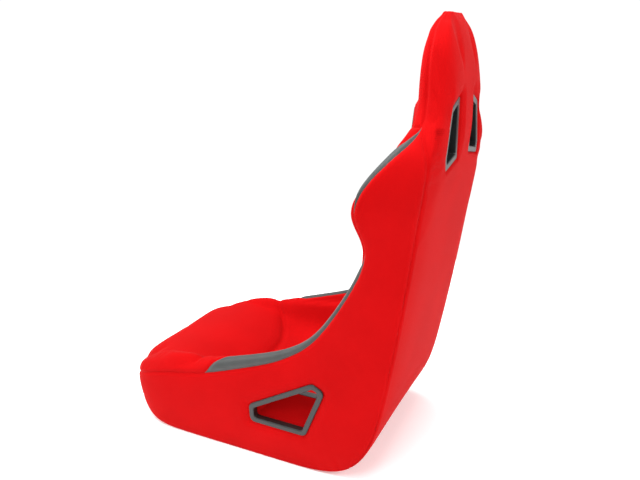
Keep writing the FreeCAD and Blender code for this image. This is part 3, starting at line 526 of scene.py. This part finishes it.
def graded(length, pitch):
    """Shares of a length: fine steps at both ends, an even pitch between."""
    edge = EDGE_STEPS[EDGE_STEPS < 0.3 * length]
    count = max(1, int(round((length - 2 * edge[-1]) / pitch)))
    middle = np.linspace(edge[-1], length - edge[-1], count + 1)
    return np.unique(np.concatenate([edge, middle, length - edge])) / length


def panel_grid(low, high, row_low, row_high, pitch):
    """Places of a grid over the strip of skin between two seams and two rows."""
    run = np.concatenate([[0.0], np.cumsum(ROW_LENGTHS)])
    start, end = np.interp([row_low, row_high], ROW_FINE, run)
    rows = np.interp(start + (end - start) * graded(end - start, pitch), run, ROW_FINE)
    rows[0], rows[-1] = row_low, row_high
    lows, highs = low(rows), high(rows)
    run_low = np.interp(lows % AROUND, U_FINE, U_RUN) + np.floor(lows / AROUND) * U_RUN[-1]
    run_high = np.interp(highs % AROUND, U_FINE, U_RUN) + np.floor(highs / AROUND) * U_RUN[-1]
    shares = graded(float(np.max(run_high - run_low)), pitch)
    places = run_low[None, :] + shares[:, None] * (run_high - run_low)[None, :]
    turns = np.floor(places / U_RUN[-1])
    u = np.interp(places - turns * U_RUN[-1], U_RUN, U_FINE) + turns * AROUND
    u[0], u[-1] = lows, highs
    return u, np.broadcast_to(rows, u.shape)


def panel_mesh(name, strips, pitch):
    """One mesh of strips of cover, with its slots open and UVs in metres."""
    all_points, all_faces, all_uvs = [], [], []
    offset = 0
    for low, high, row_low, row_high in strips:
        u, row = panel_grid(low, high, row_low, row_high, pitch)
        wide, tall = u.shape
        points, normals = draped(u.ravel(), row.ravel())
        grid = points.reshape(wide, tall, 3)
        index = np.arange(wide * tall).reshape(wide, tall)
        quads = np.stack(
            [index[:-1, :-1], index[:-1, 1:], index[1:, 1:], index[1:, :-1]], axis=-1).reshape(-1, 4)
        centres = points[quads].mean(axis=1)
        facing = normals[quads].mean(axis=1)
        hole = np.zeros(len(quads), bool)
        for slot in SLOTS:
            hole |= slot.opened(centres, facing)
        span = np.linalg.norm(np.diff(grid, axis=0), axis=2)
        across = np.concatenate([np.zeros((1, tall)), np.cumsum(span, axis=0)])
        across -= across[wide // 2]
        rise = lengths_of(grid[wide // 2])
        along = np.broadcast_to(np.concatenate([[0.0], np.cumsum(rise)]), (wide, tall))
        all_points.append(points)
        all_faces.append(quads[~hole] + offset)
        all_uvs.append(np.stack([across, along], axis=-1).reshape(-1, 2))
        offset += wide * tall
    points = np.concatenate(all_points)
    faces = np.concatenate(all_faces)
    uvs = np.concatenate(all_uvs)
    used, faces = np.unique(faces, return_inverse=True)
    faces = faces.reshape(-1, 4)
    mesh = bpy.data.meshes.new(name)
    mesh.from_pydata(points[used].tolist(), [], faces.tolist())
    layer = mesh.uv_layers.new(name="UVMap")
    corner_vertices = np.zeros(len(mesh.loops), np.int32)
    mesh.loops.foreach_get("vertex_index", corner_vertices)
    layer.data.foreach_set("uv", uvs[used][corner_vertices].ravel())
    mesh.shade_smooth()
    return mesh


def solidify(piece, gauge):
    shell = piece.modifiers.new("Cloth thickness", "SOLIDIFY")
    shell.thickness = gauge
    shell.offset = -1.0
    shell.use_rim = True


def panel(name, strips, replaced, material, slot, pitch=COVER_PITCH, fill=0.9):
    """A sewn, padded piece of the cover that stands for its CAD nodes."""
    piece = bpy.data.objects.new(name, panel_mesh(name, strips, pitch))
    bpy.context.scene.collection.objects.link(piece)
    piece.data.materials.append(material)
    solidify(piece, CLOTH_GAUGE)
    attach(piece, "root")
    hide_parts(*replaced)
    return piece


# ---------------------------------------------------------------- materials
def new_material(name, **settings):
    """A Principled material whose even values are set on the shader's own sockets."""
    material = bpy.data.materials.new(name)
    material.use_nodes = True
    shader = material.node_tree.nodes["Principled BSDF"]
    for socket, value in settings.items():
        shader.inputs[socket.replace("_", " ")].default_value = value
    return material, material.node_tree, shader


def add(tree, kind, **settings):
    node = tree.nodes.new(kind)
    for key, value in settings.items():
        if key in node.inputs:
            node.inputs[key].default_value = value
        else:
            setattr(node, key, value)
    return node


def mottle(tree, shader, coordinates, scale, dark, light, detail=3.0):
    """Base colour that drifts between two shades."""
    cloud = add(tree, "ShaderNodeTexNoise", Scale=scale, Detail=detail)
    ramp = add(tree, "ShaderNodeValToRGB")
    ramp.color_ramp.elements[0].position = 0.3
    ramp.color_ramp.elements[1].position = 0.7
    ramp.color_ramp.elements[0].color = (*dark, 1)
    ramp.color_ramp.elements[1].color = (*light, 1)
    tree.links.new(coordinates, cloud.inputs["Vector"])
    tree.links.new(cloud.outputs["Fac"], ramp.inputs["Fac"])
    tree.links.new(ramp.outputs["Color"], shader.inputs["Base Color"])
    return ramp


def bump(tree, shader, height, strength, distance_m):
    relief = add(tree, "ShaderNodeBump", Strength=strength, Distance=distance_m)
    tree.links.new(height, relief.inputs["Height"])
    tree.links.new(relief.outputs["Normal"], shader.inputs["Normal"])


def math_node(tree, operation, first, second):
    node = add(tree, "ShaderNodeMath", operation=operation)
    for index, value in enumerate((first, second)):
        if isinstance(value, (int, float)):
            node.inputs[index].default_value = value
        else:
            tree.links.new(value, node.inputs[index])
    return node.outputs[0]


def knit(name, dark, light):
    """Stretch knit: columns of small V-shaped stitches, with a soft nap."""
    material, tree, shader = new_material(
        name, Roughness=0.85, Specular_IOR_Level=0.06, Sheen_Weight=0.08, Sheen_Roughness=0.40,
        Sheen_Tint=(1.0, 0.25, 0.25, 1.0))
    uv = add(tree, "ShaderNodeUVMap", uv_map="UVMap").outputs[0]
    split = add(tree, "ShaderNodeSeparateXYZ")
    tree.links.new(uv, split.inputs[0])
    wale, course = 1.5 * MM, 1.1 * MM
    column = math_node(tree, "MULTIPLY", split.outputs[0], 2 * math.pi / wale)
    wales = math_node(tree, "ABSOLUTE", math_node(tree, "SINE", math_node(
        tree, "MULTIPLY", column, 0.5), 0.0), 0.0)
    lean = math_node(tree, "MULTIPLY", wales, 2.2)
    course_turn = math_node(tree, "MULTIPLY", split.outputs[1], 2 * math.pi / course)
    stitches = math_node(tree, "SINE", math_node(tree, "ADD", course_turn, lean), 0.0)
    yarn = math_node(tree, "MULTIPLY", stitches, 0.35)
    height = math_node(tree, "ADD", math_node(tree, "MULTIPLY", wales, 0.7), yarn)
    place = add(tree, "ShaderNodeTexCoord").outputs["Object"]
    fuzz = add(tree, "ShaderNodeTexNoise", Scale=900.0, Detail=2.0)
    tree.links.new(place, fuzz.inputs["Vector"])
    height = math_node(tree, "ADD", height, math_node(
        tree, "MULTIPLY", fuzz.outputs["Fac"], 0.5))
    bump(tree, shader, height, 0.35, 0.25 * MM)
    mottle(tree, shader, place, 9.0, dark, light)
    return material


def grained(name, dark, light, roughness, pebble, depth, specular=0.5, sheen=0.0):
    """Moulded or coated surface with an irregular pebble grain."""
    material, tree, shader = new_material(
        name, Roughness=roughness, Specular_IOR_Level=specular, Sheen_Weight=sheen)
    place = add(tree, "ShaderNodeTexCoord").outputs["Object"]
    grain = add(tree, "ShaderNodeTexVoronoi", feature="SMOOTH_F1", Scale=1 / pebble)
    fine = add(tree, "ShaderNodeTexNoise", Scale=2.4 / pebble, Detail=2.0)
    for texture in (grain, fine):
        tree.links.new(place, texture.inputs["Vector"])
    height = math_node(tree, "ADD", grain.outputs["Distance"], math_node(
        tree, "MULTIPLY", fine.outputs["Fac"], 0.4))
    bump(tree, shader, height, 0.5, depth)
    mottle(tree, shader, place, 30.0, dark, light)
    return material


def steel(name, dark, light, roughness):
    """Zinc or phosphate finish: cloudy metal with fine scratches along the part."""
    material, tree, shader = new_material(name, Metallic=1.0, Roughness=roughness)
    place = add(tree, "ShaderNodeTexCoord").outputs["Object"]
    stretch = add(tree, "ShaderNodeMapping")
    stretch.inputs["Scale"].default_value = (60, 900, 900)
    scratches = add(tree, "ShaderNodeTexNoise", Scale=1.0, Detail=4.0)
    tree.links.new(place, stretch.inputs["Vector"])
    tree.links.new(stretch.outputs[0], scratches.inputs["Vector"])
    bump(tree, shader, scratches.outputs["Fac"], 0.15, 0.05 * MM)
    mottle(tree, shader, place, 120.0, dark, light)
    return material


def woven(name, dark, light):
    """Flat webbing: warp cords with a tight weft."""
    material, tree, shader = new_material(name, Roughness=0.75, Sheen_Weight=0.2)
    place = add(tree, "ShaderNodeTexCoord").outputs["Object"]
    split = add(tree, "ShaderNodeSeparateXYZ")
    tree.links.new(place, split.inputs[0])
    cords = math_node(tree, "SINE", math_node(
        tree, "MULTIPLY", split.outputs[1], 2 * math.pi / (2.2 * MM)), 0.0)
    picks = math_node(tree, "SINE", math_node(
        tree, "MULTIPLY", split.outputs[0], 2 * math.pi / (1.3 * MM)), 0.0)
    bump(tree, shader, math_node(tree, "MULTIPLY", cords, picks), 0.5, 0.3 * MM)
    mottle(tree, shader, place, 40.0, dark, light)
    return material


RED_KNIT = knit("red_knit", (0.42, 0.0008, 0.0014), (0.47, 0.0012, 0.0020))
GRIP = grained("charcoal_grip", (0.024, 0.027, 0.026), (0.034, 0.038, 0.037), 0.55,
               0.9 * MM, 0.12 * MM, sheen=0.15)
PLASTIC = grained("bezel_plastic", (0.010, 0.012, 0.012), (0.014, 0.016, 0.016), 0.30,
                  0.6 * MM, 0.05 * MM)
POWDER = grained("powder_coat", (0.012, 0.012, 0.013), (0.018, 0.018, 0.019), 0.38,
                 1.4 * MM, 0.05 * MM)
ZINC = steel("zinc_plate", (0.50, 0.50, 0.48), (0.62, 0.62, 0.60), 0.35)
SPRING = steel("phosphated_spring", (0.10, 0.10, 0.11), (0.16, 0.16, 0.17), 0.45)
WEBBING = woven("webbing_weave", (0.012, 0.012, 0.013), (0.022, 0.022, 0.024))
CAD_MATERIALS = {
    "frame_paint": POWDER,
    "zinc_steel": ZINC,
    "spring_steel": SPRING,
    "webbing": WEBBING,
    "bezel_plastic": PLASTIC,
    "cover_cloth": RED_KNIT,
}
for subpart in frame["record"]["subparts"]:
    node = frame["nodes"][subpart["node"]]
    material = CAD_MATERIALS.get(subpart["material_slot"])
    if material is not None:
        node.data.materials.clear()
        node.data.materials.append(material)
    if "bezel" in subpart["node"]:
        weld = node.modifiers.new("Weld", "WELD")
        weld.merge_threshold = 0.02 * MM
        soften = node.modifiers.new("Soften", "BEVEL")
        soften.width = 0.9 * MM
        soften.segments = 3
        soften.angle_limit = math.radians(28)
        soften.harden_normals = True

# ---------------------------------------------------------------- the cover's pieces
INNER = mirrored(patch_seam)
CROWN_RIGHT = mirrored(crown_seam)


def negative(edge):
    return lambda row: -edge(row)


def keep_sides(name, strips, replaced, material, slot, **settings):
    """The left piece, and the right one on the mirrored strips."""
    for side, chosen in (("left", strips), ("right", [
            (mirrored(high), mirrored(low), first, last) for low, high, first, last in strips])):
        panel(f"{name}_{side}", chosen, [f"{node}_{side}" for node in replaced], material, slot,
              **settings)


panel("seat_cover_sewn", [(patch_seam, INNER, NOSE_ROW, ROW_BACK)],
      ["seat_cover", "seat_cushion_foam"], RED_KNIT, "cover_cloth")
panel("back_cover_sewn", [(patch_seam, INNER, ROW_BACK, ROW_NECK)],
      ["back_cover", "back_cushion_foam"], RED_KNIT, "cover_cloth")
panel("headrest_cover_sewn", [(crown_seam, CROWN_RIGHT, ROW_NECK, CLOSE_ROW)],
      ["headrest_cover", "headrest_foam"], RED_KNIT, "cover_cloth")
panel("rear_cover_sewn", [(negative(rear_seam), rear_seam, ROW_BASE_REAR, CLOSE_ROW)],
      ["rear_cover", "rear_padding_foam"], RED_KNIT, "cover_cloth")
keep_sides("side_cover_sewn", [(rear_seam, crown_seam, NOSE_ROW, ROW_SIDE_TOP)],
           ["side_cover", "hip_bolster_foam", "shoulder_bolster_foam"], RED_KNIT, "cover_cloth")
keep_sides("thigh_grip_patch_sewn",
           [(crown_seam, patch_seam, HIP_TIP + PATCH_GAP, HIP_END - PATCH_GAP)],
           ["thigh_grip_patch"], GRIP, "grip_vinyl", pitch=PATCH_PITCH)
keep_sides("shoulder_grip_patch_sewn",
           [(crown_seam, patch_seam, WING_START + PATCH_GAP, WING_END - PATCH_GAP)],
           ["shoulder_grip_patch"], GRIP, "grip_vinyl", pitch=PATCH_PITCH)
base = panel("base_cover_stretched", [(negative(rear_seam), rear_seam, NOSE_ROW, ROW_BASE_REAR)],
             ["base_cover"], RED_KNIT, "cover_cloth", fill=None)

# ---------------------------------------------------------------- studio
WHITE = (1.0, 1.0, 1.0)
scene = bpy.context.scene
scene.view_settings.view_transform = "Standard"
world = bpy.data.worlds.new("studio")
scene.world = world
world.use_nodes = True
backdrop = world.node_tree.nodes["Background"]
backdrop.inputs["Color"].default_value = (*WHITE, 1)
# White at the horizon and dimmer overhead, where the softboxes take over.
bearing = add(world.node_tree, "ShaderNodeTexCoord")
height_of_view = add(world.node_tree, "ShaderNodeSeparateXYZ")
fade = add(world.node_tree, "ShaderNodeMapRange")
for place, value in (("From Min", 0.10), ("From Max", 0.60), ("To Min", 1.05), ("To Max", 0.35)):
    fade.inputs[place].default_value = value
world.node_tree.links.new(bearing.outputs["Generated"], height_of_view.inputs[0])
world.node_tree.links.new(height_of_view.outputs["Z"], fade.inputs["Value"])
world.node_tree.links.new(fade.outputs["Result"], backdrop.inputs["Strength"])

floor_mesh = bpy.data.meshes.new("floor")
FLOOR_HALF = 1.25
floor_mesh.from_pydata(
    [(-FLOOR_HALF, -FLOOR_HALF, 0), (FLOOR_HALF, -FLOOR_HALF, 0), (FLOOR_HALF, FLOOR_HALF, 0),
     (-FLOOR_HALF, FLOOR_HALF, 0)], [], [(0, 1, 2, 3)])
floor = bpy.data.objects.new("floor", floor_mesh)
scene.collection.objects.link(floor)
floor.location.z = -0.0005
floor_material = new_material(
    "floor_white", Base_Color=(0.95, 0.95, 0.95, 1), Roughness=1.0, Specular_IOR_Level=0.0,
    Emission_Color=(1, 1, 1, 1), Emission_Strength=0.25)[0]
floor_mesh.materials.append(floor_material)


def softbox(name, place, target, width, power):
    lamp = bpy.data.lights.new(name, "AREA")
    lamp.shape = "DISK"
    lamp.size = width
    lamp.energy = power
    light = bpy.data.objects.new(name, lamp)
    scene.collection.objects.link(light)
    light.location = place
    aim = Vector(target) - Vector(place)
    light.rotation_euler = aim.to_track_quat("-Z", "Y").to_euler()


softbox("overhead", (0.2, -0.4, 3.2), (0, 0, 0.3), 3.4, 140)
softbox("front", (0.8, -2.8, 1.8), (0, 0, 0.4), 2.0, 36)
softbox("rear", (0.0, 3.2, 2.2), (0, 0.2, 0.5), 2.2, 60)
softbox("high", (1.5, 0.3, 1.9), (0.1, 0.3, 0.95), 0.7, 13)

# ---------------------------------------------------------------- camera
CAMERA_PLACE = (1.204, 0.634, 0.850)
CAMERA_AZIMUTH = math.radians(115.631)
CAMERA_ELEVATION = math.radians(17.341)
lens = bpy.data.cameras.new("camera")
lens.sensor_width = 36.0
lens.lens = 35.95
camera = bpy.data.objects.new("camera", lens)
scene.collection.objects.link(camera)
level = math.cos(CAMERA_ELEVATION)
away = Vector((math.sin(CAMERA_AZIMUTH) * level, -math.cos(CAMERA_AZIMUTH) * level,
               math.sin(CAMERA_ELEVATION)))
right = Vector((math.cos(CAMERA_AZIMUTH), math.sin(CAMERA_AZIMUTH), 0.0))
turn = Matrix((right, away.cross(right), away)).transposed()
camera.matrix_world = Matrix.Translation(CAMERA_PLACE) @ turn.to_4x4()
scene.camera = camera
